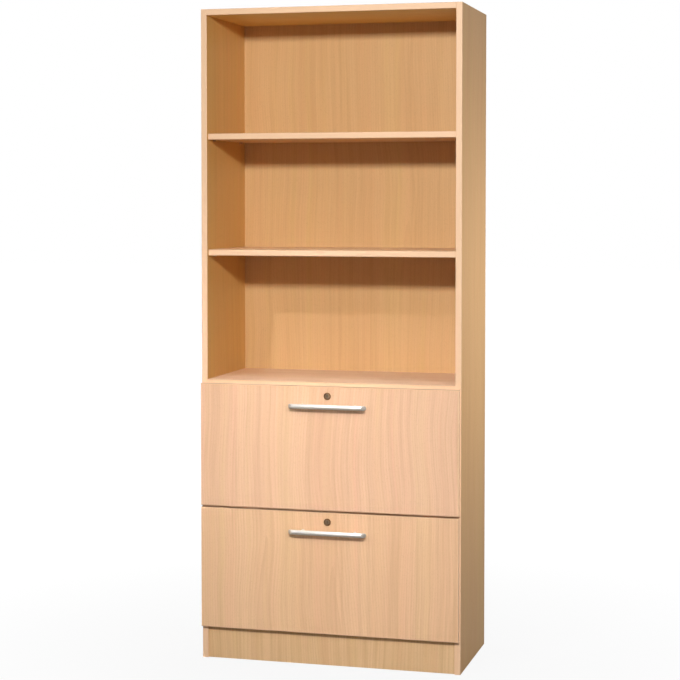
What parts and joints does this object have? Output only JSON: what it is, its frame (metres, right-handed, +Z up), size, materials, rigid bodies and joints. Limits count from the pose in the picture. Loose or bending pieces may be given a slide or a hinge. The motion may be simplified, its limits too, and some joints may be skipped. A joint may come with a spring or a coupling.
{
  "type": "open-shelf filing cabinet",
  "caption": "Tall beech-laminate cabinet: open shelf compartments over lockable filing drawers on telescopic ball slides, with satin bar handles and a plinth.",
  "frame": {"origin": "on the floor, under the middle of the whole part's box, handles included", "axes": "+Z up, -Y out of the front where the drawers open, +X to the right seen from the front"},
  "size_m": [0.8, 0.437, 1.967],
  "materials": {
    "beech_laminate": "matt melamine with a printed straight beech grain",
    "beech_edging": "matt plastic edging in plain beech colour",
    "dowel_wood": "raw wood",
    "satin_steel": "satin brushed",
    "nickel": "polished nickel",
    "zinc_steel": "bright zinc plating",
    "drawer_steel": "light grey powder coat"
  },
  "bodies": {
    "carcass": {"back_panel": "beech_laminate", "board_edge_bands": "beech_edging", "bottom_panel": "beech_laminate", "carcass_dowels": "dowel_wood", "cross_rail": "beech_laminate", "fixed_deck": "beech_laminate", "left_side_panel": "beech_laminate", "lower_left_slide_cabinet_rail": "zinc_steel", "lower_lock_strike": "zinc_steel", "lower_right_slide_cabinet_rail": "zinc_steel", "lower_shelf": "beech_laminate", "plinth_board": "beech_laminate", "right_side_panel": "beech_laminate", "shelf_pins": "zinc_steel", "side_edge_bands": "beech_edging", "top_panel": "beech_laminate", "upper_left_slide_cabinet_rail": "zinc_steel", "upper_lock_strike": "zinc_steel", "upper_right_slide_cabinet_rail": "zinc_steel", "upper_shelf": "beech_laminate"},
    "lower_drawer": {"lower_drawer_back_wall": "drawer_steel", "lower_drawer_floor_sheet": "drawer_steel", "lower_drawer_front": "beech_laminate", "lower_drawer_inner_front": "drawer_steel", "lower_drawer_left_wall": "drawer_steel", "lower_drawer_right_wall": "drawer_steel", "lower_file_rails": "drawer_steel", "lower_front_edge_bands": "beech_edging", "lower_handle_bar": "satin_steel", "lower_handle_posts": "satin_steel", "lower_left_slide_drawer_rail": "zinc_steel", "lower_lock_housing": "nickel", "lower_right_slide_drawer_rail": "zinc_steel"},
    "lower_inner_cages": {"lower_inner_ball_cages": "zinc_steel"},
    "lower_slide_middles": {"lower_left_slide_middle_rail": "zinc_steel", "lower_right_slide_middle_rail": "zinc_steel"},
    "lower_lock": {"lower_lock_cam": "zinc_steel", "lower_lock_plug": "nickel"},
    "lower_outer_cages": {"lower_outer_ball_cages": "zinc_steel"},
    "upper_drawer": {"upper_drawer_back_wall": "drawer_steel", "upper_drawer_floor_sheet": "drawer_steel", "upper_drawer_front": "beech_laminate", "upper_drawer_inner_front": "drawer_steel", "upper_drawer_left_wall": "drawer_steel", "upper_drawer_right_wall": "drawer_steel", "upper_file_rails": "drawer_steel", "upper_front_edge_bands": "beech_edging", "upper_handle_bar": "satin_steel", "upper_handle_posts": "satin_steel", "upper_left_slide_drawer_rail": "zinc_steel", "upper_lock_housing": "nickel", "upper_right_slide_drawer_rail": "zinc_steel"},
    "upper_inner_cages": {"upper_inner_ball_cages": "zinc_steel"},
    "upper_slide_middles": {"upper_left_slide_middle_rail": "zinc_steel", "upper_right_slide_middle_rail": "zinc_steel"},
    "upper_lock": {"upper_lock_cam": "zinc_steel", "upper_lock_plug": "nickel"},
    "upper_outer_cages": {"upper_outer_ball_cages": "zinc_steel"}
  },
  "joints": [
    {"name": "upper_drawer_slide", "type": "slide", "parent": "carcass", "child": "upper_drawer", "axis": [0, -1, 0], "range_m": [0, 0.34]},
    {"name": "upper_middle_rail_slide", "type": "slide", "parent": "carcass", "child": "upper_slide_middles", "axis": [0, -1, 0], "range_m": [0, 0.17]},
    {"name": "upper_outer_cage_slide", "type": "slide", "parent": "carcass", "child": "upper_outer_cages", "axis": [0, -1, 0], "range_m": [0, 0.085]},
    {"name": "upper_inner_cage_slide", "type": "slide", "parent": "carcass", "child": "upper_inner_cages", "axis": [0, -1, 0], "range_m": [0, 0.255]},
    {"name": "upper_lock_turn", "type": "hinge", "parent": "upper_drawer", "child": "upper_lock", "pos_m": [0, -0.17, 0.8125], "axis": [0, 1, 0], "range_deg": [0, 90]},
    {"name": "lower_drawer_slide", "type": "slide", "parent": "carcass", "child": "lower_drawer", "axis": [0, -1, 0], "range_m": [0, 0.34]},
    {"name": "lower_middle_rail_slide", "type": "slide", "parent": "carcass", "child": "lower_slide_middles", "axis": [0, -1, 0], "range_m": [0, 0.17]},
    {"name": "lower_outer_cage_slide", "type": "slide", "parent": "carcass", "child": "lower_outer_cages", "axis": [0, -1, 0], "range_m": [0, 0.085]},
    {"name": "lower_inner_cage_slide", "type": "slide", "parent": "carcass", "child": "lower_inner_cages", "axis": [0, -1, 0], "range_m": [0, 0.255]},
    {"name": "lower_lock_turn", "type": "hinge", "parent": "lower_drawer", "child": "lower_lock", "pos_m": [0, -0.17, 0.4365], "axis": [0, 1, 0], "range_deg": [0, 90]}
  ],
  "couplings": [
    {"joint": "upper_middle_rail_slide", "follows": "upper_drawer_slide", "ratio": 0.5},
    {"joint": "upper_outer_cage_slide", "follows": "upper_drawer_slide", "ratio": 0.25},
    {"joint": "upper_inner_cage_slide", "follows": "upper_drawer_slide", "ratio": 0.75},
    {"joint": "lower_middle_rail_slide", "follows": "lower_drawer_slide", "ratio": 0.5},
    {"joint": "lower_outer_cage_slide", "follows": "lower_drawer_slide", "ratio": 0.25},
    {"joint": "lower_inner_cage_slide", "follows": "lower_drawer_slide", "ratio": 0.75}
  ]
}
